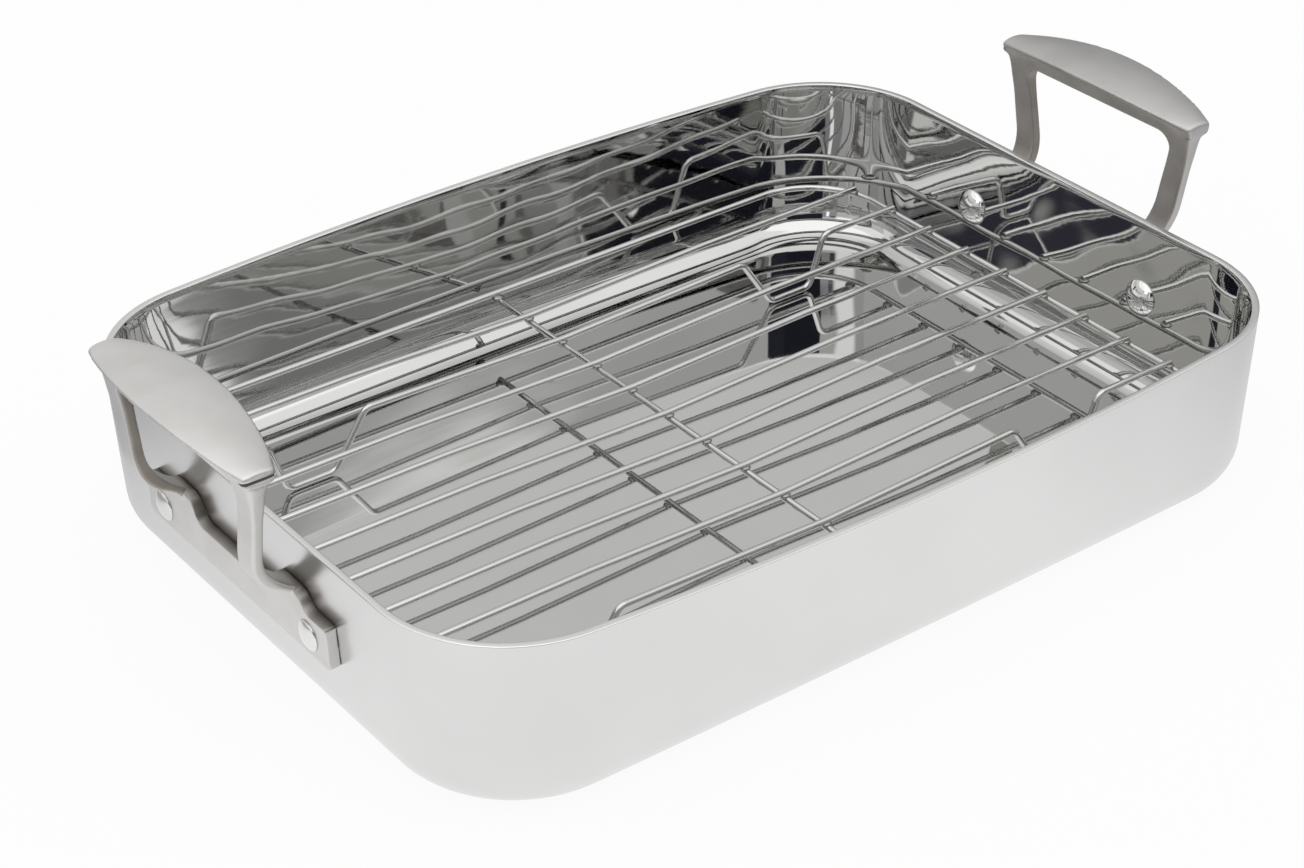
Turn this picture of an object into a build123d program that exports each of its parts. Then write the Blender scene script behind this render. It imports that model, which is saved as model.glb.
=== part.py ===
from build123d import *
import math
import os

# A roasting pan with a lift-out wire rack.
# Frame: X runs from handle to handle, Y from front to back and Z up.
# The origin is the middle of the pan's underside. Lengths are in millimetres.

# Pan: a drawn steel tray with upright sides, a little wider at the rim
pan_length = 400.0
pan_width = 292.4
pan_height = 75.0
pan_wall = 3.0
rim_corner_radius = 55.0
base_edge_radius = 16.5
rim_side_bow = 6.1
base_side_bow = 0.5
wall_draft_degrees = 2.5

# Each handle sits a little off the middle of its end, to the left as seen from outside
handle_offset = 4.4

# Handle bracket: the cast plate that lies flat on the end wall. Its depths are
# measured up from its bottom edge, and its places outwards from its middle.
bracket_thickness = 4.8
bracket_bottom_height = 32.0
bracket_middle_depth = 14.9
bracket_ear_depth = 18.0
bracket_hump_depth = 24.3
bracket_hump_inner = 33.0
bracket_hump_width = 10.5
bracket_inner_scallop = 12.0
bracket_outer_scallop = 11.5
bracket_ear_length = 9.6
bracket_corner_radius = 1.5

# Handle legs: two flat arms that bend out of the humps and up to the grip. Their
# setbacks are from the upright faces, and their rises from the top of the humps.
leg_rise = 58.5
leg_reach = 20.9
leg_thickness = 4.5
leg_back_bend_rise = 21.0
leg_back_knee_rise = 6.7
leg_back_knee_setback = 6.1
leg_back_start_slope = 0.3
leg_front_bend_rise = 20.5
leg_front_knee_rise = 3.3
leg_front_knee_setback = 8.4
leg_root_drop = 5.8
leg_root_shift = 0.2
leg_root_width = 10.4
leg_waist_rise = 20.7
leg_waist_shift = 4.1
leg_waist_width = 11.3
leg_top_shift = 10.8
leg_top_width = 11.0
leg_edge_radius = 1.0
leg_flare_rise = 33.7
leg_head_flare = 3.3

# Grip: a broad leaf-shaped top, arched along its length, with a bar under it
grip_overhang = 1.1
grip_arch = 6.5
grip_end_width = 13.0
grip_middle_width = 30.6
grip_crown = 1.4
grip_lip = 1.3
grip_cove = 3.4
grip_corner_radius = 2.2
grip_bar_depth = 7.3
window_corner_radius = 6.0

# Rivets: one at each end of each bracket, through the bracket and the wall
rivet_end_distance = 12.6
rivet_bottom_distance = 9.0
rivet_shank_diameter = 6.0
rivet_hole_clearance = 0.05
inner_head_diameter = 12.5
inner_head_rise = 3.4
outer_head_diameter = 12.0
outer_head_rise = 2.3
rivet_head_edge = 0.6

# Rack: round steel wires welded where they cross. Its gaps are from the rim wire
# to the pan's walls, and its corners are that much tighter than the pan's.
rack_rise = 23.0
rack_end_gap = 9.36
rack_side_gap = 3.44
rack_corner_tightening = 13.86
rim_wire_diameter = 3.0
wire_diameter = 2.8
long_wire_count = 10
weld_sink = 0.3
wire_dip_share = 0.5
wire_dip_radius = 60.0

# Rack feet: the second wire from each side steps down to the pan's floor twice.
# The distances run from the rack's end towards its middle, one after the other.
foot_wire_order = 2
foot_end_distance = 41.0
foot_outer_run = 8.0
foot_length = 22.0
foot_inner_run = 16.0
foot_bend_radius = 5.0
foot_floor_gap = 0.3

# How far a cutting tool runs past the face that it cuts
cut_overrun = 5.0

half_turn_degrees = 180.0
draft_slope = math.tan(math.radians(wall_draft_degrees))

bracket_middle_height = bracket_bottom_height + bracket_middle_depth
bracket_ear_height = bracket_bottom_height + bracket_ear_depth
bracket_hump_height = bracket_bottom_height + bracket_hump_depth
bracket_hump_outer = bracket_hump_inner + bracket_hump_width
bracket_half_length = bracket_hump_outer + bracket_outer_scallop + bracket_ear_length

leg_root_height = bracket_hump_height - leg_root_drop
leg_waist_height = bracket_hump_height + leg_waist_rise
leg_flare_height = bracket_hump_height + leg_flare_rise
grip_end_height = bracket_hump_height + leg_rise
grip_underside_height = grip_end_height - grip_bar_depth
leg_top_inner = bracket_hump_inner + leg_top_shift
leg_top_outer = leg_top_inner + leg_top_width
grip_half_length = leg_top_outer + grip_overhang

rivet_place = bracket_half_length - rivet_end_distance
rivet_height = bracket_bottom_height + rivet_bottom_distance


def outer_wall_x(height):
    """Half length of the pan's outside at a height above its underside."""
    return pan_length / 2 - (pan_height - height) * draft_slope


# Pan


def tray_outline(inset, bow, height):
    """Rounded rectangle whose long sides swell, set in from the rim's outline.

    Each long side is one wide arc, and each corner arc is tangent to it and to the
    straight end.
    """
    half_length = pan_length / 2 - inset
    half_width = pan_width / 2 - inset
    corner = rim_corner_radius - inset
    corner_x = half_length - corner
    bow_radius = (corner_x**2 + bow**2) / (2 * bow)
    bow_centre = half_width + bow - bow_radius
    corner_rise = math.sqrt((bow_radius - corner) ** 2 - corner_x**2)
    corner_y = bow_centre + corner_rise
    stretch = bow_radius / (bow_radius - corner)
    end_point = (half_length, corner_y)
    side_point = (corner_x * stretch, bow_centre + corner_rise * stretch)
    half_turn = math.atan2(corner_rise, corner_x) / 2
    middle = (corner_x + corner * math.cos(half_turn), corner_y + corner * math.sin(half_turn))

    def at(point, x_side, y_side):
        return (point[0] * x_side, point[1] * y_side)

    edges = []
    for x_side, y_side in ((1, 1), (-1, -1)):
        before = at(end_point, x_side, y_side)
        after = at(side_point, x_side, y_side)
        edges.append(Line(at(end_point, x_side, -y_side), before))
        edges.append(ThreePointArc(before, at(middle, x_side, y_side), after))
        far = at(side_point, -x_side, y_side)
        edges.append(ThreePointArc(after, (0, y_side * (half_width + bow)), far))
        turned = at(end_point, -x_side, y_side)
        edges.append(ThreePointArc(far, at(middle, -x_side, y_side), turned))
    return Pos(0, 0, height) * make_face(Wire(edges))


def tray_block(wall_inset, bottom, top, edge_radius):
    """Solid between two tray outlines, with its lower edge rounded."""
    faces = []
    for height in (bottom, top):
        inset = wall_inset + (pan_height - height) * draft_slope
        bow = base_side_bow + (rim_side_bow - base_side_bow) * height / pan_height
        faces.append(tray_outline(inset, bow, height))
    block = loft(faces, ruled=True)
    return fillet(block.edges().group_by(Axis.Z)[0], edge_radius)


def rivet_plane(side, place):
    """Plane on the outside of an end wall, facing outwards, at one rivet."""
    draft = math.radians(wall_draft_degrees)
    outward = (side * math.cos(draft), 0, -math.sin(draft))
    across = place * rivet_place - side * handle_offset
    origin = (side * outer_wall_x(rivet_height), across, rivet_height)
    return Plane(origin=origin, x_dir=(0, side, 0), z_dir=outward)


def rivet_holes(side):
    """Cutters for both rivet holes at one end of the pan."""
    radius = rivet_shank_diameter / 2 + rivet_hole_clearance
    length = 2 * (pan_wall + bracket_thickness + cut_overrun)
    return [rivet_plane(side, place) * Cylinder(radius, length) for place in (-1, 1)]


def make_pan():
    """Drawn tray: the outer block less the cavity and the rivet holes."""
    outer = tray_block(0, 0, pan_height, base_edge_radius)
    inner_edge_radius = base_edge_radius - pan_wall
    cavity = tray_block(pan_wall, pan_wall, pan_height + cut_overrun, inner_edge_radius)
    return outer - cavity - rivet_holes(1) - rivet_holes(-1)


# Handles


def s_curve(start, end, along):
    """Two equal arcs from start to end, both ends level, meeting halfway."""
    middle = ((start[0] + end[0]) / 2, (start[1] + end[1]) / 2)
    return [
        TangentArc(start, middle, tangent=(along, 0)),
        TangentArc(end, middle, tangent=(-along, 0)),
    ]


def mirrored_outline(half_edges):
    """Closed outline from the edges of its +Y half, whose ends lie on the middle."""
    return make_face(Wire(half_edges + [edge.mirror(Plane.YZ) for edge in half_edges]))


def bracket_plate():
    """Scalloped plate on the end wall: low in the middle, a hump at each leg, then an ear."""
    end, bottom = bracket_half_length, bracket_bottom_height
    inner_foot = (bracket_hump_inner - bracket_inner_scallop, bracket_middle_height)
    inner_shoulder = (bracket_hump_inner, bracket_hump_height)
    outer_shoulder = (bracket_hump_outer, bracket_hump_height)
    outer_foot = (bracket_hump_outer + bracket_outer_scallop, bracket_ear_height)
    half = [
        Line((0, bottom), (end, bottom)),
        Line((end, bottom), (end, bracket_ear_height)),
        Line((end, bracket_ear_height), outer_foot),
        *s_curve(outer_foot, outer_shoulder, -1),
        Line(outer_shoulder, inner_shoulder),
        *s_curve(inner_shoulder, inner_foot, -1),
        Line(inner_foot, (0, bracket_middle_height)),
    ]
    outline = mirrored_outline(half)
    corners = outline.vertices().filter_by(lambda v: abs(abs(v.X) - end) < bracket_corner_radius)
    outline = fillet(corners, bracket_corner_radius)
    draft = math.radians(wall_draft_degrees)
    wall_plane = Plane(
        origin=(outer_wall_x(0), 0, 0),
        x_dir=(0, 1, 0),
        z_dir=(math.cos(draft), 0, -math.sin(draft)),
    )
    return extrude(wall_plane * outline, bracket_thickness)


def leg_front_x():
    """Where the legs' outer faces stand once they are upright."""
    return outer_wall_x(bracket_hump_height) + leg_reach


def leg_side_profile():
    """The legs seen from the side: out of the bracket's hump, then up to the grip."""
    hump = bracket_hump_height
    wall_x = outer_wall_x(hump)
    front_x = leg_front_x()
    back_x = front_x - leg_thickness
    plate_front_x = outer_wall_x(leg_root_height) + bracket_thickness
    inside_x = outer_wall_x(leg_root_height) + bracket_thickness / 2
    head_height = grip_end_height - grip_lip
    top = grip_end_height + grip_arch
    back_start = (wall_x, hump)
    back_knee = (back_x - leg_back_knee_setback, hump + leg_back_knee_rise)
    back_bend = (back_x, hump + leg_back_bend_rise)
    back_flare = (back_x, leg_flare_height)
    back_head = (back_x - leg_head_flare, head_height)
    front_head = (front_x + leg_head_flare, head_height)
    front_flare = (front_x, leg_flare_height)
    front_bend = (front_x, hump + leg_front_bend_rise)
    front_knee = (front_x - leg_front_knee_setback, hump + leg_front_knee_rise)
    root = (plate_front_x, leg_root_height)
    inside_root = (inside_x, leg_root_height)
    inside_hump = (inside_x, hump - bracket_thickness / 2)
    edges = [
        Spline(back_start, back_knee, back_bend, tangents=[(1, leg_back_start_slope), (0, 1)]),
        Line(back_bend, back_flare),
        TangentArc(back_flare, back_head, tangent=(0, 1)),
        Line(back_head, (back_head[0], top)),
        Line((back_head[0], top), (front_head[0], top)),
        Line((front_head[0], top), front_head),
        TangentArc(front_flare, front_head, tangent=(0, 1)),
        Line(front_flare, front_bend),
        Spline(front_bend, front_knee, root, tangents=[(0, -1), (0, -1)]),
        Line(root, inside_root),
        Line(inside_root, inside_hump),
        Line(inside_hump, back_start),
    ]
    return make_face(Wire(edges))


def leg_front_profile():
    """The legs and the bar seen from the end of the pan, spreading towards the grip."""
    inner_top = (leg_top_inner, grip_underside_height)
    inner_waist = (bracket_hump_inner + leg_waist_shift, leg_waist_height)
    inner_root = (bracket_hump_inner + leg_root_shift, leg_root_height)
    outer_waist = (inner_waist[0] + leg_waist_width, leg_waist_height)
    outer_root = (inner_root[0] + leg_root_width, leg_root_height)
    outer_top = (leg_top_outer, grip_end_height - grip_lip)
    arch_top = grip_end_height + grip_arch - grip_lip
    half = [
        Line((0, grip_underside_height), inner_top),
        Spline(inner_top, inner_waist, inner_root),
        Line(inner_root, outer_root),
        Spline(outer_root, outer_waist, outer_top),
    ]
    far_top = (-leg_top_outer, outer_top[1])
    arch = ThreePointArc(outer_top, (0, arch_top), far_top)
    outline = make_face(Wire(half + [edge.mirror(Plane.YZ) for edge in half] + [arch]))
    window = outline.vertices().filter_by(lambda v: abs(v.Y - grip_underside_height) < leg_edge_radius)
    return fillet(window, window_corner_radius)


def leg_frame():
    """Both legs and the bar: what the side profile and the front profile share."""
    side_plane = Plane(origin=(0, leg_top_outer + cut_overrun, 0), x_dir=(1, 0, 0), z_dir=(0, -1, 0))
    side = extrude(side_plane * leg_side_profile(), 2 * (leg_top_outer + cut_overrun))
    front_plane = Plane(origin=(outer_wall_x(0) - cut_overrun, 0, 0), x_dir=(0, 1, 0), z_dir=(1, 0, 0))
    front = extrude(front_plane * leg_front_profile(), 2 * leg_reach)
    frame = side & front
    return fillet(frame.edges().filter_by(is_leg_edge), leg_edge_radius)


def is_leg_edge(edge):
    """True for the edges that run along a leg or the bar, clear of the bracket and the grip."""
    box = edge.bounding_box()
    plate_back = outer_wall_x(bracket_hump_height)
    clear_of_wall = box.min.X > plate_back + leg_edge_radius / 2
    stands_out = box.max.X > plate_back + bracket_thickness
    below_grip = box.max.Z <= grip_end_height
    rises = box.max.Z - box.min.Z > leg_edge_radius
    spans_window = box.max.Y - box.min.Y > leg_top_inner
    return clear_of_wall and stands_out and below_grip and (rises or spans_window)


def grip_section(share):
    """Cross section of the grip at a share of its half length: crown, lips and coves."""
    fullness = 1 - share**2
    half_width = (grip_end_width + (grip_middle_width - grip_end_width) * fullness) / 2
    centre_x = leg_front_x() - leg_thickness / 2
    lip_height = grip_end_height + grip_arch * fullness
    stem = leg_thickness / 2 + leg_head_flare
    lower_lip = lip_height - grip_lip
    underside = lower_lip - grip_cove
    left, right = centre_x - half_width, centre_x + half_width
    edges = [
        ThreePointArc((left, lip_height), (centre_x, lip_height + grip_crown), (right, lip_height)),
        Line((right, lip_height), (right, lower_lip)),
        Line((right, lower_lip), (centre_x + stem, underside)),
        Line((centre_x + stem, underside), (centre_x - stem, underside)),
        Line((centre_x - stem, underside), (left, lower_lip)),
        Line((left, lower_lip), (left, lip_height)),
    ]
    plane = Plane(origin=(0, share * grip_half_length, 0), x_dir=(1, 0, 0), z_dir=(0, -1, 0))
    return plane * make_face(Wire(edges))


def grip_top():
    """Leaf-shaped top of the grip, lofted from end to end through its sections."""
    station_shares = (-1, -2 / 3, -1 / 3, 0, 1 / 3, 2 / 3, 1)
    top = loft([grip_section(share) for share in station_shares])
    corners = top.edges().filter_by(lambda edge: edge.length < grip_lip + grip_crown)
    return fillet(corners, grip_corner_radius)


def make_handle():
    """The handle at +X: bracket plate, legs, bar and grip in one casting."""
    casting = bracket_plate() + leg_frame() + grip_top()
    return Pos(0, -handle_offset, 0) * casting - rivet_holes(1)


# Rivets


def make_rivet(side, place):
    """Shank with a tall dome inside the pan and a low dome outside the bracket."""
    inner_seat = -pan_wall * math.cos(math.radians(wall_draft_degrees))
    outer_seat = bracket_thickness
    shank = rivet_shank_diameter / 2
    inner_radius, outer_radius = inner_head_diameter / 2, outer_head_diameter / 2
    inner_crown = (0, inner_seat - inner_head_rise)
    inner_rim = (inner_radius, inner_seat - rivet_head_edge)
    outer_crown = (0, outer_seat + outer_head_rise)
    outer_rim = (outer_radius, outer_seat + rivet_head_edge)
    edges = [
        Line(inner_crown, outer_crown),
        TangentArc(outer_crown, outer_rim, tangent=(1, 0)),
        Line(outer_rim, (outer_radius, outer_seat)),
        Line((outer_radius, outer_seat), (shank, outer_seat)),
        Line((shank, outer_seat), (shank, inner_seat)),
        Line((shank, inner_seat), (inner_radius, inner_seat)),
        Line((inner_radius, inner_seat), inner_rim),
        TangentArc(inner_crown, inner_rim, tangent=(1, 0)),
    ]
    half_section = Plane.XZ * make_face(Wire(edges))
    return rivet_plane(side, place) * revolve(half_section, Axis.Z)


# Rack

rack_rim_height = pan_wall + rack_rise
rack_rim_inset = pan_wall + (pan_height - rack_rim_height) * draft_slope + rim_wire_diameter / 2
rack_half_length = pan_length / 2 - rack_rim_inset - rack_end_gap
rack_half_width = pan_width / 2 - rack_rim_inset - rack_side_gap
rack_corner_radius = rim_corner_radius - (rack_rim_inset - rim_wire_diameter / 2) - rack_corner_tightening
wire_pitch = 2 * rack_half_width / (long_wire_count + 1)
weld_reach = (rim_wire_diameter + wire_diameter) / 2 - weld_sink
wire_end_height = rack_rim_height + weld_reach
cross_wire_height = rack_rim_height - weld_reach
wire_dip_height = cross_wire_height + wire_diameter - weld_sink
foot_height = pan_wall + foot_floor_gap + wire_diameter / 2


def round_wire(path, diameter):
    """Round wire along a path."""
    section_plane = Plane(origin=path @ 0, z_dir=path % 0)
    return sweep(section_plane * Circle(diameter / 2), path=path)


def make_rim_wire():
    """Closed loop that carries every other wire."""
    loop = RectangleRounded(2 * rack_half_length, 2 * rack_half_width, rack_corner_radius)
    return round_wire((Pos(0, 0, rack_rim_height) * loop).wire(), rim_wire_diameter)


def make_cross_wire():
    """Straight wire under the middle of the rack, from one side of the rim to the other."""
    back, front = (0, rack_half_width, cross_wire_height), (0, -rack_half_width, cross_wire_height)
    path = Line(back, front)
    return round_wire(path, wire_diameter)


def wire_place(order):
    """Where a long wire crosses the rack, counted from the back."""
    return wire_pitch * ((long_wire_count + 1) / 2 - order)


def mirrored_points(half_points, place):
    """Points of a wire's route from its +X half, which starts at the middle."""
    right = [(x, place, z) for x, z in half_points]
    left = [(-x, place, z) for x, z in half_points[:0:-1]]
    return left + right


def rim_reach(place):
    """Half length of the rack's rim where a wire crosses it, less at the rounded corners."""
    past_corner = max(0, abs(place) - (rack_half_width - rack_corner_radius))
    reach = math.sqrt(rack_corner_radius**2 - past_corner**2)
    return rack_half_length - rack_corner_radius + reach


def make_long_wire(order):
    """Wire along the pan, resting on the rim's ends and dipping onto the cross wire."""
    place = wire_place(order)
    half = [
        (0, wire_dip_height),
        (wire_dip_share * rack_half_length, wire_end_height),
        (rim_reach(place), wire_end_height),
    ]
    path = FilletPolyline(*mirrored_points(half, place), radius=wire_dip_radius)
    return round_wire(path, wire_diameter)


def make_foot_wire(order):
    """Long wire that steps down to the pan's floor near each end and stands there."""
    place = wire_place(order)
    outer_top = rack_half_length - foot_end_distance
    outer_bottom = outer_top - foot_outer_run
    inner_bottom = outer_bottom - foot_length
    inner_top = inner_bottom - foot_inner_run
    half = [
        (0, wire_dip_height),
        (inner_top, wire_end_height),
        (inner_bottom, foot_height),
        (outer_bottom, foot_height),
        (outer_top, wire_end_height),
        (rim_reach(place), wire_end_height),
    ]
    bends = [foot_bend_radius] * 4
    radii = bends + [wire_dip_radius] + bends
    path = FilletPolyline(*mirrored_points(half, place), radius=radii)
    return round_wire(path, wire_diameter)


# Parts


def build():
    """Every piece by name."""
    handle = make_handle()
    parts = {
        "pan_body": make_pan(),
        "handle_right": handle,
        "handle_left": Rot(0, 0, half_turn_degrees) * handle,
        "rack_rim_wire": make_rim_wire(),
        "rack_cross_wire": make_cross_wire(),
    }
    for side, end in ((-1, "left"), (1, "right")):
        for place, row in ((-1, "front"), (1, "back")):
            parts[f"rivet_{end}_{row}"] = make_rivet(side, place)
    foot_orders = {foot_wire_order: "back", long_wire_count + 1 - foot_wire_order: "front"}
    straight_count = 0
    for order in range(1, long_wire_count + 1):
        if order in foot_orders:
            parts[f"rack_foot_wire_{foot_orders[order]}"] = make_foot_wire(order)
        else:
            straight_count += 1
            parts[f"rack_long_wire_{straight_count}"] = make_long_wire(order)
    return parts


os.makedirs("parts", exist_ok=True)
for name, shape in build().items():
    export_step(shape, f"parts/{name}.step")
    print(name, round(shape.volume), "mm3")
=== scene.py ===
# %% [markdown]
# # A roasting pan with a lift-out rack
# The pan is one deep-drawn steel tray. It is satin outside and a mirror inside, with a
# cast handle riveted to each end. The rack is welded from round wire and lies loose in it.
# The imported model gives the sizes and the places. This script gives the surfaces their
# finish, and the fine shapes that a plain solid leaves out.

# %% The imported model
import math

import bmesh
import bpy
import numpy as np
from mathutils import Matrix, Vector


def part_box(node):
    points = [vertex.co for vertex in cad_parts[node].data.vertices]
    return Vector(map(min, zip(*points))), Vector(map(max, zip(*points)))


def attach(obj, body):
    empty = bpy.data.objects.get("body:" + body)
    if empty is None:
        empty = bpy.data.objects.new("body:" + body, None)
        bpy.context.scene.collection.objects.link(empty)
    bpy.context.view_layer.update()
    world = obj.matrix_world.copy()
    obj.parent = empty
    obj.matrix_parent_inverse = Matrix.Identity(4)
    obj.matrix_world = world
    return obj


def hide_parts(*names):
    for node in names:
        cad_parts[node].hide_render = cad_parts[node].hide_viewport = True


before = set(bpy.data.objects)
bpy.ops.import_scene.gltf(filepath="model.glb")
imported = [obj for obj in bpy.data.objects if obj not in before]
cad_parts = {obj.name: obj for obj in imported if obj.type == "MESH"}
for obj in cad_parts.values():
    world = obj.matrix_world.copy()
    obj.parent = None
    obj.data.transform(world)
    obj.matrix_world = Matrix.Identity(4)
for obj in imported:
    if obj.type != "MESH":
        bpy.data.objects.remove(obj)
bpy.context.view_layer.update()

MM = 0.001
bpy.context.scene.view_settings.view_transform = "Standard"

# %% [markdown]
# ## Camera
# The camera goes first, because every later choice is judged through it. Its place, its
# turn and its lens were solved from the outline of the pan's rim, whose real size is known.
# A long lens from over a metre away keeps the far end of the pan nearly as large as the
# near end.

# %% Camera
camera_place = (-0.5870, -0.7726, 0.6328)
camera_azimuth = math.radians(-36.398)
camera_elevation = math.radians(32.196)
camera_roll = math.radians(-0.807)
camera_lens_mm = 78.96


def camera_axes(azimuth, elevation, roll):
    """The camera's right, up and backward directions.

    Backward points from the object to the camera. Right is level before the roll, and
    the roll then turns right and up about the backward axis.
    """
    backward = Vector((
        math.sin(azimuth) * math.cos(elevation),
        -math.cos(azimuth) * math.cos(elevation),
        math.sin(elevation),
    ))
    level = Vector((0, 0, 1)).cross(backward).normalized()
    upright = backward.cross(level)
    right = level * math.cos(roll) + upright * math.sin(roll)
    return right, backward.cross(right), backward


camera = bpy.data.objects.new("camera", bpy.data.cameras.new("camera"))
camera.data.lens = camera_lens_mm
camera.data.sensor_width = 36
camera.data.sensor_fit = "HORIZONTAL"
camera.data.clip_start = 0.05
turn = Matrix(camera_axes(camera_azimuth, camera_elevation, camera_roll)).transposed()
camera.matrix_world = Matrix.Translation(camera_place) @ turn.to_4x4()
bpy.context.scene.collection.objects.link(camera)
bpy.context.scene.camera = camera
print("camera at", camera_place, "with a lens of", camera_lens_mm, "mm")

# %% [markdown]
# ## Shader maths
# A material is a small program made of nodes. Wrapping a socket in a class lets the maths
# be written as ordinary sums, and one method makes every other kind of node.

# %% Shader maths


class Socket:
    """One output of a shader node. Sums and products of sockets add Math nodes."""

    def __init__(self, tree, output=None):
        self.tree = tree
        self.output = output

    def node(self, kind, settings=None, inputs=None, output=0):
        """A node of this kind, with its settings set first and then its sockets fed."""
        made = self.tree.nodes.new(kind)
        for name, value in (settings or {}).items():
            setattr(made, name, value)
        for name, value in (inputs or {}).items():
            if isinstance(value, Socket):
                self.tree.links.new(value.output, made.inputs[name])
            else:
                made.inputs[name].default_value = value
        return Socket(self.tree, made.outputs[output] if made.outputs else None)

    def maths(self, operation, first, second=0.0):
        """A Math node of this operation."""
        return self.node("ShaderNodeMath", {"operation": operation}, {0: first, 1: second})

    def __add__(self, other):
        return self.maths("ADD", self, other)

    def __sub__(self, other):
        return self.maths("SUBTRACT", self, other)

    def __rsub__(self, other):
        return self.maths("SUBTRACT", other, self)

    def __mul__(self, other):
        return self.maths("MULTIPLY", self, other)

    __radd__ = __add__
    __rmul__ = __mul__

    def scaled(self, factors):
        """This vector with each of its three parts multiplied."""
        return self.node("ShaderNodeVectorMath", {"operation": "MULTIPLY"}, {0: self, 1: factors})

    def parts(self):
        """The three numbers of this vector."""
        return [self.node("ShaderNodeSeparateXYZ", None, {"Vector": self}, axis)
                for axis in range(3)]

    def eased(self, low, high, start=0.0, end=1.0):
        """Start where this value is under low, end where it is over high, smooth between."""
        limits = {"Value": self, "From Min": low, "From Max": high, "To Min": start, "To Max": end}
        return self.node("ShaderNodeMapRange", {"interpolation_type": "SMOOTHSTEP"}, limits)

    def blended(self, first, second):
        """The first colour where this value is 0, the second where it is 1."""
        first, second = (
            part if isinstance(part, Socket) else (*part, 1) for part in (first, second))
        return self.node("ShaderNodeMix", {"data_type": "RGBA"}, {0: self, 6: first, 7: second}, 2)


def new_material(name):
    """An empty material and its tree of nodes."""
    material = bpy.data.materials.new(name)
    material.use_nodes = True
    material.node_tree.nodes.clear()
    return material, Socket(material.node_tree)


def finish_surface(tree, surface):
    """Connects a shader to the material's output."""
    tree.node("ShaderNodeOutputMaterial", None, {"Surface": surface})


# %% [markdown]
# ## Surfaces from grids
# Most pieces here are a grid of points that is worked out in one go: the rows run along
# the piece and the columns run around it. One function turns such a grid into a mesh.

# %% Grids to meshes


def add_piece(name, mesh, material):
    """A smooth-shaded object for a finished mesh, at the origin."""
    mesh.materials.append(material)
    mesh.shade_smooth()
    piece = bpy.data.objects.new(name, mesh)
    bpy.context.scene.collection.objects.link(piece)
    print(f"{name}: {len(mesh.polygons)} faces")
    return piece


def grid_faces(rows, columns):
    """Corner numbers of the quads of a grid that closes on itself around its columns."""
    row = np.arange(rows - 1)[:, None] * columns
    column = np.arange(columns)[None, :]
    here, beside = row + column, row + (column + 1) % columns
    return np.stack([here, beside, beside + columns, here + columns], -1).reshape(-1, 4)


def grids_to_mesh(name, grids):
    """One closed mesh from grids of points of shape (rows, columns, 3).

    Where a row's points all meet, as at a pole, merging them closes the surface.
    """
    places, faces, count = [], [], 0
    for grid in grids:
        rows, columns = grid.shape[:2]
        places.append(grid.reshape(-1, 3))
        faces.append(grid_faces(rows, columns) + count)
        count += rows * columns
    mesh = bpy.data.meshes.new(name)
    mesh.from_pydata(np.concatenate(places), [], np.concatenate(faces).tolist())
    close_mesh(mesh)
    return mesh


def close_mesh(mesh, merge_distance=0.001 * MM):
    """Merges points that meet, drops faces left with no area and turns all faces outwards."""
    shell = bmesh.new()
    shell.from_mesh(mesh)
    bmesh.ops.remove_doubles(shell, verts=shell.verts, dist=merge_distance)
    bmesh.ops.dissolve_degenerate(shell, edges=shell.edges, dist=merge_distance)
    bmesh.ops.recalc_face_normals(shell, faces=shell.faces)
    shell.to_mesh(mesh)
    shell.free()


# %% [markdown]
# ## Steel finishes
# Steel has no colour of its own beyond a faint warm grey, so each finish is made by how it
# scatters what it mirrors: its roughness, and the fine marks of the tool that made it.

# %% Steel finishes
cloud_scale = 18.0
cloud_tone = 0.97


def steel(name, colour, roughness, roughness_spread, grain, grain_scale, grain_depth):
    """Metal with a grain: noise stretched by the grain's factors, which varies the roughness
    and, through a bump of this depth in metres, the slope of the surface."""
    material, tree = new_material(name)
    place = tree.node("ShaderNodeTexCoord", output=3)
    marks = tree.node(
        "ShaderNodeTexNoise", None,
        {"Vector": place.scaled(grain), "Scale": grain_scale, "Detail": 2.0, "Roughness": 0.4})
    cloud = tree.node(
        "ShaderNodeTexNoise", None, {"Vector": place, "Scale": cloud_scale, "Detail": 2.0})
    bump = tree.node(
        "ShaderNodeBump", None, {"Height": marks, "Distance": grain_depth, "Strength": 1.0})
    tone = cloud.eased(0.3, 0.7).blended(tuple(cloud_tone * part for part in colour), colour)
    surface = tree.node("ShaderNodeBsdfPrincipled", None, {
        "Base Color": tone,
        "Metallic": 1.0,
        "Roughness": roughness - roughness_spread / 2 + roughness_spread * marks,
        "Normal": bump,
    })
    finish_surface(tree, surface)
    print(f"{name}: roughness {roughness}")
    return material


# Each finish: its colour, its roughness and how far that varies, and the grain's stretch,
# scale and depth.
satin_steel = steel("satin steel", (0.76, 0.76, 0.755), 0.24, 0.04, (1, 1, 10), 200.0, 0.0008 * MM)
mirror_steel = steel("mirror steel", (0.66, 0.66, 0.65), 0.03, 0.01, (1, 1, 9), 30.0, 0.008 * MM)
rim_steel = steel("rim steel", (0.88, 0.88, 0.87), 0.24, 0.06, (1, 1, 1), 400.0, 0.004 * MM)
wire_steel = steel("wire steel", (0.65, 0.65, 0.64), 0.10, 0.03, (1, 1, 1), 300.0, 0.002 * MM)
weld_steel = steel("weld steel", (0.38, 0.375, 0.365), 0.28, 0.10, (1, 1, 1), 500.0, 0.010 * MM)
rivet_steel = steel("rivet steel", (0.82, 0.82, 0.81), 0.06, 0.02, (1, 1, 1), 300.0, 0.002 * MM)

# %% [markdown]
# The handles are cast. A belt ground their broad faces, but it didn't reach the inside of
# the loop or the bracket's upper edge, and these stayed brown and rough. The finish finds
# them by where a face looks and by where it lies, so that no map has to be painted.

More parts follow.
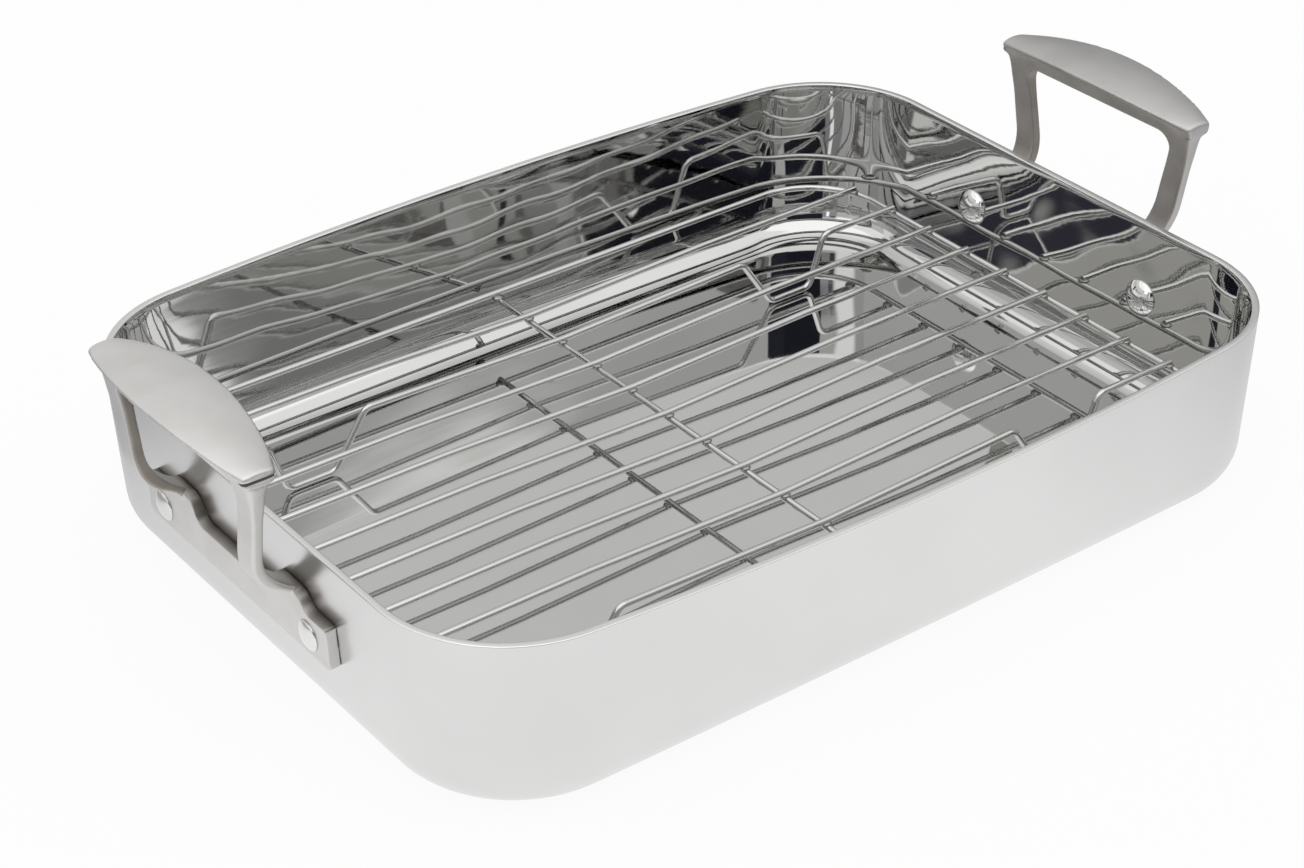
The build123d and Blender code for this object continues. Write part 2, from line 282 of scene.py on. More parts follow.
# %% Cast finish
# Under one end of the grip's top plate runs a narrow groove.
grip_half_length = 55.9 * MM
groove_height = 113.0 * MM
groove_half_width = 0.8 * MM
groove_depth = 1.2 * MM
groove_edge = 0.3 * MM
groove_from_middle = (52.5 * MM, 53.5 * MM)
# Painted shade: over this span of distance from the middle, the cast brown darkens towards the
# pan's wall.
wall_shade_span = (199.0 * MM, 204.0 * MM)
bracket_top = (60 * MM, 78 * MM)
ground_colours = ((1.0, 0.992, 0.978), (0.94, 0.922, 0.895))
brown_colours = ((0.44, 0.41, 0.37), (0.33, 0.30, 0.27))
# Painted shade: the brown next to the pan's wall and in the groove.
painted_shade_brown = (0.16, 0.145, 0.13)
cast_roughness = 0.42
cast_grain_scale, cast_grain_depth = 1500.0, 0.006 * MM
stain_scale = 60.0


def cast_finish(name, middle, outward, ground_shade_tone):
    """Ground cast steel, left brown and rough where the grinding belt didn't reach.

    That is inside the loop, where a face looks towards the handle's middle, along the
    bracket's upper edge, in the groove at one end of the grip, and in part on the side that
    faces the pan. Close to the wall and in the groove the brown is darkened as painted
    shade, and the upper edge is less brown towards its outer side, where that shade fades.
    """
    material, tree = new_material(name)
    place = tree.node("ShaderNodeTexCoord", output=3)
    facing = tree.node("ShaderNodeNewGeometry", output=1)
    across, along, height = place.parts()
    facing_out, facing_along, facing_up = facing.parts()
    side = (along - middle).eased(-2 * MM, 2 * MM, -1.0, 1.0)
    inward = (side * facing_along).eased(-0.75, -0.25, 1.0, 0.0)
    # Painted shade mask: 0 next to the wall, rising to 1 a few millimetres out from it.
    clear_of_wall_shade = (across * outward).eased(*wall_shade_span)
    upper_edge = facing_up.eased(0.25, 0.6) * height.eased(*bracket_top, 1.0, 0.0)
    # Painted shade: the upper edge is less brown, so it is lighter, away from the wall.
    upper_edge = upper_edge * (1 - 0.45 * clear_of_wall_shade)
    pan_side = (facing_out * outward).eased(-0.8, -0.2, 0.6, 0.0)
    as_cast_and_groove_shade = tree.maths("MAXIMUM", inward, tree.maths("MAXIMUM", upper_edge, pan_side))
    # Painted shadow in the groove at one end of the grip: brown here, and dark brown below.
    groove_low, groove_high = groove_height - groove_half_width, groove_height + groove_half_width
    groove = height.eased(groove_low, groove_low + groove_edge)
    groove = groove * height.eased(groove_high - groove_edge, groove_high, 1.0, 0.0)
    groove = groove * ((along - middle) * outward).eased(*groove_from_middle)
    # The brown mask now also holds the groove's painted shadow.
    as_cast_and_groove_shade = tree.maths("MAXIMUM", as_cast_and_groove_shade, groove)
    # The groove takes the dark brown of the painted shade.
    clear_of_wall_shade = clear_of_wall_shade * (1 - groove)
    grain = tree.node(
        "ShaderNodeTexNoise", None, {"Vector": place, "Scale": cast_grain_scale, "Detail": 2.0})
    stain = tree.node(
        "ShaderNodeTexNoise", None, {"Vector": place, "Scale": stain_scale, "Detail": 3.0})
    # The tone darkens the ground colours: painted shade, deeper on the right handle.
    light, dull = (tuple(ground_shade_tone * part for part in colour) for colour in ground_colours)
    ground = stain.eased(0.3, 0.75).blended(light, dull)
    brown = stain.eased(0.3, 0.7).blended(*brown_colours)
    # Painted shade: dark brown next to the wall and in the groove.
    brown = clear_of_wall_shade.blended(painted_shade_brown, brown)
    bump = tree.node(
        "ShaderNodeBump", None, {"Height": grain, "Distance": cast_grain_depth, "Strength": 1.0})
    surface = tree.node("ShaderNodeBsdfPrincipled", None, {
        "Base Color": as_cast_and_groove_shade.blended(ground, brown),
        "Metallic": 1.0,
        "Roughness": cast_roughness + 0.08 * grain + 0.04 * as_cast_and_groove_shade,
        "Normal": bump,
    })
    finish_surface(tree, surface)
    return material


# %% [markdown]
# ## Pan
# A drawn tray is one section carried round one outline. The section is a drafted wall, a
# rounded base edge and a flat floor, outside and inside. The outline is a rounded
# rectangle whose long sides swell. Every row of the grid is the outline at that row's
# distance in from the rim, and the columns step round it.

# %% Pan outline
pan_low, pan_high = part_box("pan_body")
pan_wall = 3.0 * MM
rim_corner_radius = 55.0 * MM
base_edge_radius = 16.5 * MM
rim_side_bow = 6.1 * MM
base_side_bow = 0.5 * MM
rim_edge_radius = 0.5 * MM
draft_slope = math.tan(math.radians(2.5))
pan_height = pan_high.z
rim_half_length = pan_high.x
rim_half_width = pan_high.y - rim_side_bow
end_columns, corner_columns, side_columns = 24, 40, 48


def shares(steps, ends=True):
    """Even steps from 0 to 1."""
    return np.linspace(0, 1, steps, endpoint=ends)


def pan_outline(inset, bow):
    """Loops round the pan at distances in from the rim, as arrays of x and of y.

    Each quarter is a straight end, then an arc of the corner's radius, then an arc of the
    long side's radius, (chord squared + bow squared) / twice the bow. The arcs are tangent.
    """
    corner = rim_corner_radius - inset
    corner_x = rim_half_length - inset - corner
    side_radius = (corner_x**2 + bow**2) / (2 * bow)
    side_centre = rim_half_width - inset + bow - side_radius
    rise = np.sqrt((side_radius - corner) ** 2 - corner_x**2)
    join = np.arctan2(rise, corner_x)
    corner_angle = join * shares(corner_columns, False)
    side_angle = join + (math.pi / 2 - join) * shares(side_columns)
    end = shares(end_columns, False)
    x = np.concatenate([
        (rim_half_length - inset) + 0 * end,
        corner_x + corner * np.cos(corner_angle),
        side_radius * np.cos(side_angle),
    ], axis=1)
    y = np.concatenate([
        (side_centre + rise) * end,
        side_centre + rise + corner * np.sin(corner_angle),
        side_centre + side_radius * np.sin(side_angle),
    ], axis=1)
    around_x = np.concatenate([x[:, :-1], -x[:, :0:-1], -x[:, :-1], x[:, :0:-1]], axis=1)
    around_y = np.concatenate([y[:, :-1], y[:, :0:-1], -y[:, :-1], -y[:, :0:-1]], axis=1)
    return around_x, around_y


# %% Pan section
edge_rows, wall_rows = 14, 22
middle_shrink = np.array([0, 0.2, 0.4, 0.6, 0.8, 0.93, 0.995])
support_gap = 0.5 * MM


def wall_inset(height, thickness):
    """How far in from the rim a drafted wall stands at a height."""
    return thickness + (pan_height - height) * draft_slope


def base_edge(radius, level, thickness):
    """The arc between a floor at this level and its wall, from the floor to the wall.

    Its centre stands a radius above the floor, and a radius from the wall's slanted line.
    """
    slant = math.atan(draft_slope)
    centre_inset = wall_inset(level + radius, thickness) + radius / math.cos(slant)
    angle = -math.pi / 2 - (math.pi / 2 - slant) * shares(edge_rows)
    return centre_inset + radius * np.cos(angle), level + radius + radius * np.sin(angle)


def pan_skin(radius, level, thickness):
    """One skin of the pan from its middle to just under the rim: insets, heights, shrink.

    Shrink draws the flat middle in towards the centre, where the outline's own inset
    would pass its corner radius. The wall's first row stands close over the base edge, so
    that the wall above it is shaded as flat.
    """
    edge_inset, edge_height = base_edge(radius, level, thickness)
    foot, top = edge_height[-1], pan_height - rim_edge_radius
    wall_height = foot + (top - foot) * np.concatenate([
        [support_gap / (top - foot)], shares(wall_rows)[1:]])
    inset = np.concatenate([
        0 * middle_shrink + edge_inset[0], edge_inset, wall_inset(wall_height, thickness)])
    height = np.concatenate([0 * middle_shrink + level, edge_height, wall_height])
    shrink = np.concatenate([middle_shrink, 1 + 0 * edge_inset, 1 + 0 * wall_height])
    return inset, height, shrink


def rim_edges():
    """The rim's top between two small round edges: insets and heights, outside to inside."""
    angle = math.pi - math.pi / 2 * shares(5)[1:]
    outer_inset = rim_edge_radius + rim_edge_radius * np.cos(angle)
    height = pan_height - rim_edge_radius + rim_edge_radius * np.sin(angle)
    inner_inset = pan_wall - outer_inset[::-1]
    return np.concatenate([outer_inset, inner_inset]), np.concatenate([height, height[::-1]])


def pan_grid(inset, height, shrink):
    """Points of the pan's surface for rows of insets, heights and shrinks."""
    bow = base_side_bow + (rim_side_bow - base_side_bow) * height / pan_height
    x, y = pan_outline(inset[:, None], bow[:, None])
    return np.stack([x * shrink[:, None], y * shrink[:, None], height[:, None] + 0 * x], -1)


outside = pan_skin(base_edge_radius, 0.0, 0.0)
inside = pan_skin(base_edge_radius - pan_wall, pan_wall, pan_wall)
rim_inset, rim_height = rim_edges()
section = [
    np.concatenate([outer, rim, inner[::-1]])
    for outer, rim, inner in zip(outside, (rim_inset, rim_height, 1 + 0 * rim_inset), inside)
]
pan_points = pan_grid(*section)
outside_rows, rim_rows = len(outside[0]), len(rim_inset)
print("pan grid:", pan_points.shape)

# %% [markdown]
# The inside was polished after drawing, so its walls are slightly uneven, most of all at the
# corners, where the sheet was squeezed. What the walls mirror wavers because of that. The
# unevenness is real geometry: a few long waves that run round the wall and up it.

# %% Waves in the inside wall
wave_seed = 7
wave_count = 9
wave_depth = 0.0018
wave_turns = (6, 34)
steepest_rise = 30.0
wall_share, end_share, corner_share = 0.14, 0.36, 0.6
# Where each of these comes on, and over what length.
end_wall_ramp, floor_ramp, rim_ramp = (175 * MM, 10 * MM), (12 * MM, 20 * MM), (0, 4 * MM)


def ramp(value, start, length):
    """0 up to the start, then straight up to 1 over this length, and 1 from there on."""
    return np.clip((value - start) / length, 0, 1)


def wall_waves(points):
    """Outward shift of each point: a sum of sines whose crests lie at many angles.

    Each wave is sin(2 pi (turns round the pan * share + rises * height) + phase), with a
    height in proportion to its length. The sum fades out at the rim and at the floor, and
    is strongest at the corners and on the two ends.
    """
    random = np.random.default_rng(wave_seed)
    step = np.linalg.norm(np.roll(points, -1, 1) - points, axis=2)
    length = np.maximum(step.sum(1, keepdims=True), MM)
    along = (np.cumsum(step, 1) - step) / length
    height = points[..., 2]
    shift = 0 * height
    for _ in range(wave_count):
        turns = random.integers(*wave_turns)
        rises = random.uniform(-steepest_rise, steepest_rise)
        phase = random.uniform(0, 2 * math.pi)
        wave_length = 1 / math.hypot(turns / length.mean(), rises)
        shift += wave_length * np.sin(2 * math.pi * (turns * along + rises * height) + phase)
    corner = np.abs(points[..., 0]) / rim_half_length * np.abs(points[..., 1]) / rim_half_width
    end_wall = ramp(np.abs(points[..., 0]), *end_wall_ramp)
    fade = ramp(height, *floor_ramp) * ramp(pan_height - height, *rim_ramp)
    return shift * fade * (wall_share + end_share * end_wall + corner_share * corner**4)


inner_wall = pan_points[outside_rows + rim_rows:]
from_middle = inner_wall * (1, 1, 0)
outward = from_middle / np.maximum(np.linalg.norm(from_middle, axis=2, keepdims=True), MM)
inner_wall += outward * (wave_depth * wall_waves(inner_wall))[..., None]

# %% The pan's mesh and its three finishes
pan_mesh = grids_to_mesh("pan", [pan_points])
pan = add_piece("pan", pan_mesh, satin_steel)
pan_mesh.materials.append(mirror_steel)
pan_mesh.materials.append(rim_steel)


def paint_pan(mesh):
    """Gives the rim's faces the rim finish and those that face the inside the mirror finish."""
    count = len(mesh.polygons)
    centre, facing = np.empty(count * 3), np.empty(count * 3)
    mesh.polygons.foreach_get("center", centre)
    mesh.polygons.foreach_get("normal", facing)
    centre, facing = centre.reshape(-1, 3), facing.reshape(-1, 3)
    towards_middle = (centre * facing)[:, :2].sum(1) < 0
    inner = (towards_middle & (centre[:, 2] > pan_wall * 0.9)) | (facing[:, 2] > 0.5)
    top = (centre[:, 2] > pan_height - rim_edge_radius) & (facing[:, 2] > 0.2)
    slots = np.where(top, 2, np.where(inner, 1, 0)).astype(np.int32)
    mesh.polygons.foreach_set("material_index", slots)


paint_pan(pan_mesh)
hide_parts("pan_body")
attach(pan, "pan")

# %% [markdown]
# ## Rack
# Each wire is a circle carried along a route of straight runs and arcs. The routes come
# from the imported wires: their boxes give the heights and the reach.

# %% Wire routes


def unit(vector):
    """This vector with a length of 1."""
    return vector / np.linalg.norm(vector)


def bent_route(corners, radii):
    """Points and directions along straight runs that are joined by tangent arcs.

    An arc of radius r at a turn t starts r * tan(t / 2) before the corner, and its points
    are the centre plus r times a direction that turns from one run's normal to the next's.
    """
    corners = np.array(corners, float)
    runs = np.diff(corners, axis=0)
    runs /= np.linalg.norm(runs, axis=1, keepdims=True)
    points, directions = [corners[:1]], [runs[:1]]
    for corner, before, after, radius in zip(corners[1:-1], runs, runs[1:], radii):
        turn = math.acos(np.clip(before @ after, -1, 1))
        inward, middle = unit(after - before), unit(before + after)
        centre = corner + inward * radius / math.cos(turn / 2)
        angle = (turn * (shares(11) - 0.5))[:, None]
        points.append(centre - inward * radius * np.cos(angle) + middle * radius * np.sin(angle))
        directions.append(middle * np.cos(angle) + inward * np.sin(angle))
    points.append(corners[-1:])
    directions.append(runs[-1:])
    return np.concatenate(points), np.concatenate(directions)


def wire_grid(points, directions, across, radius, sides=20):
    """Circles round a flat route. Across is square to the route's plane."""
    across = np.array(across, float)
    upward = np.cross(directions, across)
    angle = 2 * math.pi * shares(sides, False)[None, :, None]
    return points[:, None] + radius * (across * np.cos(angle) + upward[:, None] * np.sin(angle))


def cut_ends(grid, chamfer=0.3 * MM):
    """The wire with both ends closed: a small round edge, then a flat face to its middle."""
    first, last = grid[0].mean(0), grid[-1].mean(0)
    start, finish = unit(grid[1].mean(0) - first), unit(last - grid[-2].mean(0))
    radius = np.linalg.norm(grid[0] - first, axis=1).mean()
    angle = math.pi / 2 * shares(4)[:, None, None]
    shrink = 1 - chamfer / radius * (1 - np.cos(angle))
    depth = chamfer * (1 - np.sin(angle))
    head = first + (grid[0] - first) * shrink + start * depth
    tail = last + (grid[-1] - last) * shrink - finish * depth
    first_cap, last_cap = 0 * grid[:1] + first, 0 * grid[:1] + last
    return np.concatenate([first_cap, head[::-1], grid[1:-1], tail, last_cap])


# %% Rack wires
rim_low, rim_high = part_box("rack_rim_wire")
cross_low, cross_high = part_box("rack_cross_wire")
rim_wire_radius = (rim_high.z - rim_low.z) / 2
wire_radius = (cross_high.z - cross_low.z) / 2
rack_corner_radius = 36.0 * MM
rack_half_length = rim_high.x - rim_wire_radius
rack_half_width = rim_high.y - rim_wire_radius
dip_radius = 60.0 * MM
dip_half_length = rack_half_length / 2
weld_sink = 0.3 * MM
foot_bend_radius = 5.0 * MM
# From the rim inwards: to the outer bend, down, along the floor and up again.
foot_runs = (41.0 * MM, 8.0 * MM, 22.0 * MM, 16.0 * MM)


def nodes_named(*starts):
    """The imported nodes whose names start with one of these."""
    return [node for node in sorted(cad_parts) if node.startswith(starts)]


def rim_route():
    """The rack's rim as a closed loop: four quarter circles, one at each corner."""
    angle = math.pi / 2 * (np.arange(4)[:, None] + shares(24)[None, :])
    sign_x = np.array([1, -1, -1, 1])[:, None]
    sign_y = np.array([1, 1, -1, -1])[:, None]
    centre_x = sign_x * (rack_half_length - rack_corner_radius)
    centre_y = sign_y * (rack_half_width - rack_corner_radius)
    x = (centre_x + rack_corner_radius * np.cos(angle)).ravel()
    y = (centre_y + rack_corner_radius * np.sin(angle)).ravel()
    height = (rim_low.z + rim_high.z) / 2
    directions = np.stack([-np.sin(angle).ravel(), np.cos(angle).ravel(), 0 * x], -1)
    return np.stack([x, y, height + 0 * x], -1), directions


def both_ends(half):
    """A symmetric route from its +X half, which starts at the middle."""
    return [(-x, y, z) for x, y, z in half[:0:-1]] + half


def long_wire_grid(node):
    """A wire along the rack, which dips in the middle onto the cross wire.

    A foot wire also steps down to the pan's floor near each end.
    """
    low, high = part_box(node)
    middle, top = cross_high.z + wire_radius - weld_sink, high.z - wire_radius
    stations, radii = [(0, middle), (dip_half_length, top)], [dip_radius] * 3
    if node.startswith("rack_foot_wire"):
        floor = low.z + wire_radius
        outer_top, outer_floor, inner_floor, inner_top = rack_half_length - np.cumsum(foot_runs)
        stations = [(0, middle), (inner_top, top), (inner_floor, floor), (outer_floor, floor),
                    (outer_top, top)]
        bends = [foot_bend_radius] * 4
        radii = bends + [dip_radius] + bends
    stations.append((high.x, top))
    half = [(x, (low.y + high.y) / 2, height) for x, height in stations]
    points, directions = bent_route(both_ends(half), radii)
    return cut_ends(wire_grid(points, directions, (0, 1, 0), wire_radius))


def cross_wire_grid():
    """The straight wire under the middle."""
    height = (cross_low.z + cross_high.z) / 2
    points, directions = bent_route([(0, cross_low.y, height), (0, cross_high.y, height)], [])
    return cut_ends(wire_grid(points, directions, (1, 0, 0), wire_radius))


def rim_wire_grid():
    """The closed rim, whose last circle meets its first."""
    points, directions = rim_route()
    grid = wire_grid(points, directions, (0, 0, 1), rim_wire_radius, 24)
    return np.concatenate([grid, grid[:1]])


def add_wire(node, grid):
    """The finished wire in place of its node."""
    piece = add_piece(node + "_bright", grids_to_mesh(node, [grid]), wire_steel)
    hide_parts(node)
    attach(piece, "rack")
    return piece


add_wire("rack_rim_wire", rim_wire_grid())
add_wire("rack_cross_wire", cross_wire_grid())
for node in nodes_named("rack_long_wire", "rack_foot_wire"):
    add_wire(node, long_wire_grid(node))

# %% [markdown]
# Each crossing was spot-welded. A little bead of darker metal fills the corner between the
# two wires there.

# %% Weld beads
bead_half_length = 2.5 * MM
bead_half_height = 1.1 * MM


def bead_grid(centre, steps=9, sides=16):
    """A flattened ball: the radius is sin(angle), the height cos(angle)."""
    angle = math.pi * shares(steps)[:, None]
    turn = 2 * math.pi * shares(sides, False)[None, :]
    ball = np.stack([
        bead_half_length * np.sin(angle) * np.cos(turn),
        bead_half_length * np.sin(angle) * np.sin(turn),
        bead_half_height * np.cos(angle) + 0 * turn,
    ], -1)
    return ball + np.array(centre)


def weld_places():
    """Where the long wires cross the rim and the cross wire, and the cross wire the rim."""
    inset = bead_half_length / 2
    places = []
    for node in nodes_named("rack_long_wire", "rack_foot_wire"):
        low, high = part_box(node)
        middle = (low.y + high.y) / 2
        places += [(end, middle, rim_high.z) for end in (low.x + inset, high.x - inset)]
        places.append((0, middle, cross_high.z))
    return places + [(0, end, rim_low.z) for end in (cross_low.y + inset, cross_high.y - inset)]


bead_grids = [bead_grid(place) for place in weld_places()]
beads = add_piece("rack_welds", grids_to_mesh("beads", bead_grids), weld_steel)
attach(beads, "rack")

# %% [markdown]
# ## Handles
# Each handle is one casting: a plate, two legs and a grip that flow into each other. The
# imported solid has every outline, but its pieces meet at sharp inside corners. A cast piece
# has none, because molten metal can't fill them cleanly. So a copy of the solid is made into
# an even mesh of small faces, and its inside corners are then filled by letting each point
# that lies in a hollow drift towards its neighbours. The longer that lasts, the wider the
# fillet, and it lasts longest under the grip's ends, where the legs flare into them.

# %% Cast handles
cast_voxel = 0.5 * MM
edge_rounds, hollow_rounds, flare_rounds, tip_rounds = 1, 16, 110, 24
facing_rounds = 10
hollow_pull = 0.004 * MM
flare_pull = 0.0005 * MM
# Where the flares and the tips come on, from the handle's middle and from the table up, and
# over what length.
flare_along, flare_up = (46 * MM, 4 * MM), (90 * MM, 10 * MM)
tip_along, tip_up = (47 * MM, 6 * MM), (100 * MM, 6 * MM)


def even_mesh(source, name):
    """A copy of an object's mesh, made of evenly small faces."""
    mesh = source.data.copy()
    mesh.name = name
    close_mesh(mesh)
    carrier = bpy.data.objects.new(name, mesh)
    bpy.context.scene.collection.objects.link(carrier)
    remesh = carrier.modifiers.new("even faces", "REMESH")
    remesh.mode = "VOXEL"
    remesh.voxel_size = cast_voxel
    evaluated = carrier.evaluated_get(bpy.context.evaluated_depsgraph_get())
    even = bpy.data.meshes.new_from_object(evaluated)
    bpy.data.objects.remove(carrier)
    even.materials.clear()
    return even


def mesh_points(mesh):
    """The places of a mesh's points."""
    places = np.empty(len(mesh.vertices) * 3)
    mesh.vertices.foreach_get("co", places)
    return places.reshape(-1, 3)


def neighbour_pull(places, edges, degree):
    """From each point to the mean of its neighbours."""
    total = np.zeros_like(places)
    for axis in range(3):
        total[:, axis] += np.bincount(edges[:, 0], places[edges[:, 1], axis], len(places))
        total[:, axis] += np.bincount(edges[:, 1], places[edges[:, 0], axis], len(places))
    return total / degree[:, None] - places


def soften_casting(mesh, middle):
    """Rounds all edges a little, fills the hollows much more and rounds the grip's two tips.

    A point moves by half its pull. After the first rounds it moves only where the pull
    points out of the surface, which is where the surface is hollow. The flare's rounds are
    for the hollows under the tips alone. The facing is worked out anew every few rounds.
    """
    edges = np.empty(len(mesh.edges) * 2, np.int32)
    mesh.edges.foreach_get("vertices", edges)
    edges = edges.reshape(-1, 2)
    places = mesh_points(mesh)
    degree = np.bincount(edges.ravel(), minlength=len(places))
    facing = np.empty(len(places) * 3)
    from_middle = np.abs(places[:, 1] - middle)
    under_tip = ramp(from_middle, *flare_along) * ramp(places[:, 2], *flare_up)
    for _ in range(edge_rounds):
        places += neighbour_pull(places, edges, degree) / 2
    for number in range(hollow_rounds + flare_rounds):
        if number % facing_rounds == 0:
            mesh.vertices.foreach_set("co", places.ravel())
            mesh.update()
            mesh.vertex_normals.foreach_get("vector", facing)
        pull = neighbour_pull(places, edges, degree)
        outward_pull = (pull * facing.reshape(-1, 3)).sum(1)
        share = ramp(outward_pull, 0, hollow_pull)
        if number >= hollow_rounds:
            share = ramp(outward_pull, 0, flare_pull) * under_tip
        places += pull * 0.5 * share[:, None]
    from_middle = np.abs(places[:, 1] - middle)
    tip = ramp(from_middle, *tip_along) * ramp(places[:, 2], *tip_up)
    for _ in range(tip_rounds):
        places += neighbour_pull(places, edges, degree) * (tip / 2)[:, None]
    mesh.vertices.foreach_set("co", places.ravel())
    mesh.update()


def cut_end_groove(mesh, middle, end):
    """Draws one end face in under the top plate.

    It goes in by groove_depth * (1 - (rise / half width)^2).
    """
    places = mesh_points(mesh)
    rise = (places[:, 2] - groove_height) / groove_half_width
    depth = groove_depth * np.clip(1 - rise**2, 0, 1)
    past = (places[:, 1] - middle) * end - (grip_half_length - 1 * MM - depth)
    places[:, 1] -= end * np.where(depth > 0, np.clip(past, 0, depth), 0)
    mesh.vertices.foreach_set("co", places.ravel())
    mesh.update()


# The right handle's ground faces are darker than the left one's: painted shade,
# because its side of the room is darker.
for side, outward, ground_shade_tone in (("left", -1, 0.77), ("right", 1, 0.64)):
    node = f"handle_{side}"
    low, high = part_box(node)
    middle = (low.y + high.y) / 2
    casting = even_mesh(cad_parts[node], f"{node}_casting")
    soften_casting(casting, middle)
    cut_end_groove(casting, middle, outward)
    finish = cast_finish(f"cast steel {side}", middle, outward, ground_shade_tone)
    handle = add_piece(f"{node}_cast", casting, finish)
    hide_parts(node)
    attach(handle, "pan")

# %% [markdown]
# The rivets' heads inside the pan are polished domes, broad and full. Each rivet is turned
# about an axis that is square to the end wall.

# %% Rivets
rivet_shank_radius = 3.0 * MM
rivet_height = 41.0 * MM
bracket_thickness = 4.8 * MM
inner_head = (8.0 * MM, 4.6 * MM)
outer_head = (6.0 * MM, 2.3 * MM)
head_edge = 0.6 * MM
edge_bulge = 0.15 * MM


def dome(radius, rise):
    """A head's section from its crown to its seat: radii and heights over the seat.

    The arc through the crown and the edge has the radius (radius^2 + r^2) / 2r, where r is
    the rise over the edge. The edge itself goes straight down to the seat, with a slight
    bulge on its way.
    """
    arc_rise = rise - head_edge
    arc_radius = (radius**2 + arc_rise**2) / (2 * arc_rise)
    angle = math.asin(radius / arc_radius) * shares(20)
    down = shares(5)[1:]
    bulge = edge_bulge * np.sin(math.pi * down)
    radii = np.concatenate([arc_radius * np.sin(angle), radius + bulge])
    heights = np.concatenate([rise - arc_radius * (1 - np.cos(angle)), head_edge * (1 - down)])
    return radii, heights


def turned(radii, heights, origin, axis, sides=64):
    """Circles about an axis. Across and upward are square to the axis."""
    across = np.array((0.0, 1.0, 0.0))
    upward = np.cross(axis, across)
    angle = 2 * math.pi * shares(sides, False)[None, :, None]
    around = across * np.cos(angle) + upward * np.sin(angle)
    return origin + heights[:, None, None] * axis + radii[:, None, None] * around


def rivet_grid(node):
    """Outer head, shank and inner head, turned about the hole through the end wall."""
    low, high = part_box(node)
    side = math.copysign(1.0, low.x)
    slant = math.atan(draft_slope)
    axis = np.array((side * math.cos(slant), 0.0, -math.sin(slant)))
    wall = rim_half_length - (pan_height - rivet_height) * draft_slope
    origin = np.array((side * wall, (low.y + high.y) / 2, rivet_height))
    inner_seat = -pan_wall * math.cos(slant)
    outer_radii, outer_heights = dome(*outer_head)
    inner_radii, inner_heights = dome(*inner_head)
    shank_heights = [bracket_thickness, inner_seat]
    radii = np.concatenate([outer_radii, [rivet_shank_radius] * 2, inner_radii[::-1]])
    heights = np.concatenate([
        bracket_thickness + outer_heights, shank_heights, inner_seat - inner_heights[::-1]])
    return turned(radii, heights, origin, axis)


for node in nodes_named("rivet"):
    rivet = add_piece(f"{node}_turned", grids_to_mesh(node, [rivet_grid(node)]), rivet_steel)
    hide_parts(node)
    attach(rivet, "pan")

# %% [markdown]
# ## Studio
# Steel shows its surroundings, so the studio is part of the finish. The eye sees a white
# room, and the steel mirrors another one. There the air is grey low down and bright straight
# above, with lighter and darker patches for windows, walls and furniture. A patch is a
# range of two angles with soft edges, which is simpler to place than a card.

# %% World
world = bpy.data.worlds.new("studio")
bpy.context.scene.world = world
world.use_nodes = True
world.node_tree.nodes.clear()
air = Socket(world.node_tree)
white = (1.0, 1.0, 1.0)
right, back, up = air.node("ShaderNodeTexCoord", output=0).parts()
azimuth = air.maths("ARCTAN2", back, right) * math.degrees(1)
elevation = air.maths("ARCSINE", up) * math.degrees(1)


def band(angle, low, high, soft):
    """1 where an angle in degrees is between two limits, with soft edges of this width."""
    half = soft / 2
    return angle.eased(low - half, low + half) * angle.eased(high - half, high + half, 1.0, 0.0)


sky_light = 1.4
# Each patch of air: its azimuths, its elevations, how soft its edges are, and its colour.
# A later patch covers an earlier one.
air_patches = (
    ((-181, 181), (-9, 43), 3.0, (0.47, 0.47, 0.47)),
    ((-10, 125), (-30, 75), 50.0, (0.50, 0.50, 0.50)),
    ((-50, 5), (42, 70), 8.0, (0.78, 0.78, 0.78)),
    ((30, 75), (22, 38), 8.0, (0.50, 0.50, 0.50)),
    ((-181, 60), (-9, 11), 3.0, (0.14, 0.14, 0.145)),
    ((60, 181), (-9, 18), 4.0, (0.60, 0.60, 0.60)),
    ((15, 52), (4, 29), 6.0, (0.20, 0.20, 0.20)),
    ((60, 181), (44, 60), 6.0, (0.76, 0.76, 0.76)),
    ((-181, -167), (28, 41), 3.0, (0.40, 0.40, 0.40)),
    ((-168, -148), (30, 48), 6.0, (0.95, 0.95, 0.95)),
    ((-160, -146), (14, 28), 4.0, (0.42, 0.42, 0.43)),
    ((-147, -126), (12, 34), 2.0, (0.24, 0.24, 0.25)),
    ((-146, -141), (29, 34), 1.5, (0.05, 0.05, 0.07)),
    ((-139, -136), (13, 31), 1.0, (1.0, 1.0, 1.0)),
    ((-132, -92), (20, 41), 1.5, (0.014, 0.015, 0.022)),
    ((-94, -75), (32, 43), 2.0, (0.020, 0.022, 0.030)),
    ((-125, -119), (10, 30), 1.5, (0.016, 0.016, 0.022)),
    ((-70, -50), (10, 24), 4.0, (0.22, 0.22, 0.22)),
    ((-68, -25), (25, 29), 1.5, (1.0, 1.0, 1.0)),
    ((54, 71), (18, 31), 3.0, (0.40, 0.395, 0.38)),
    ((92, 150), (18, 31), 3.0, (0.40, 0.395, 0.38)),
    ((122, 130), (11, 28), 1.5, (0.020, 0.020, 0.028)),
    ((141, 149), (19, 25), 1.5, (0.16, 0.16, 0.16)),
    ((149, 181), (17, 26), 2.0, (0.32, 0.32, 0.32)),
)
sky = air.node("ShaderNodeRGB")
sky.output.default_value = (*white, 1)
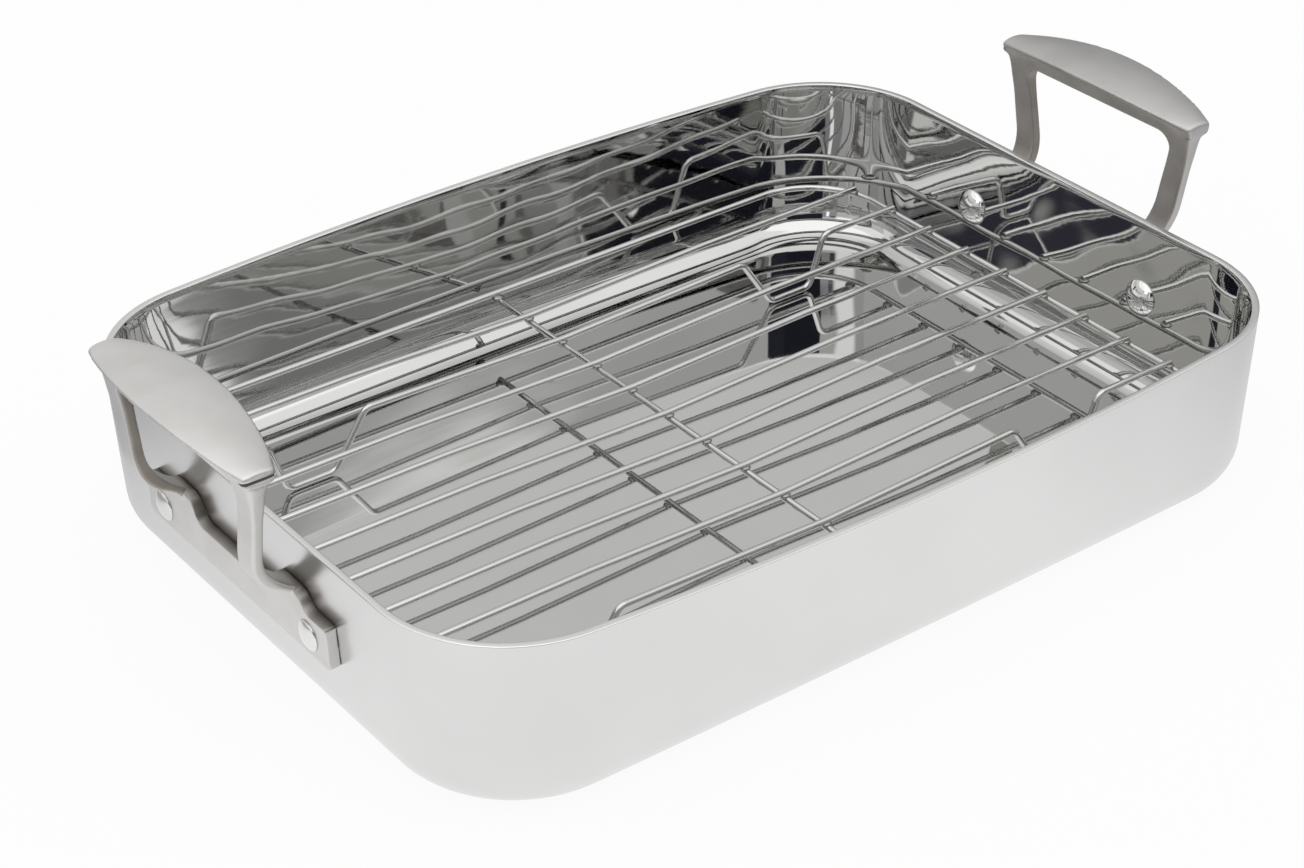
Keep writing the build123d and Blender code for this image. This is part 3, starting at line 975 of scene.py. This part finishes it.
for azimuths, elevations, soft, colour in air_patches:
    patch = band(azimuth, *azimuths, soft) * band(elevation, *elevations, soft)
    sky = patch.blended(sky, colour)
seen_directly = air.node("ShaderNodeLightPath", output=0)
seen_air = {"Color": seen_directly.blended(sky, white), "Strength": sky_light}
background = air.node("ShaderNodeBackground", None, seen_air)
air.node("ShaderNodeOutputWorld", None, {"Surface": background})
print("patches of air:", len(air_patches))

# %% [markdown]
# The floor is white paper to the eye, and it keeps the pan's shadow. In mirrors it glows
# white near the pan and is darker far from it, as a lit table in a room is.

# %% Floor
floor_half_size = 6.0
table_shade = (0.20, 0.20, 0.22)
paper_tone = (0.95, 0.95, 0.95, 1)
glow_share = 0.92


def flat_card(name, corners, material):
    """A flat four-cornered card."""
    mesh = bpy.data.meshes.new(name)
    mesh.from_pydata(corners, [], [tuple(range(len(corners)))])
    mesh.materials.append(material)
    card = bpy.data.objects.new(name, mesh)
    bpy.context.scene.collection.objects.link(card)
    return card


floor_material, tree = new_material("studio floor")
across, along, _ = tree.node("ShaderNodeTexCoord", output=3).parts()
# In metres from the middle: to the right, to the back, and behind the left end.
far_away = (
    across.eased(0.05, 0.45) * 0.55
    + along.eased(-0.1, 0.3) * 0.45
    + across.eased(-0.25, -0.12, 1.0, 0.0) * along.eased(0.10, 0.22) * 0.35)
seen_by_eye, seen_in_mirror, seen_through = (
    tree.node("ShaderNodeLightPath", output=number) for number in (0, 3, 6))
glow = (far_away * (1 - seen_by_eye)).blended(white, table_shade)
own_light = tree.node("ShaderNodeEmission", None, {"Color": glow, "Strength": 1.0})
paper = tree.node("ShaderNodeBsdfDiffuse", None, {"Color": paper_tone})
backdrop = (seen_by_eye + seen_in_mirror + seen_through) * glow_share
mixed = tree.node("ShaderNodeMixShader", None, {0: backdrop, 1: paper, 2: own_light})
finish_surface(tree, mixed)
floor_corners = [(x * floor_half_size, y * floor_half_size, 0)
                 for x, y in ((-1, -1), (1, -1), (1, 1), (-1, 1))]
flat_card("floor", floor_corners, floor_material)
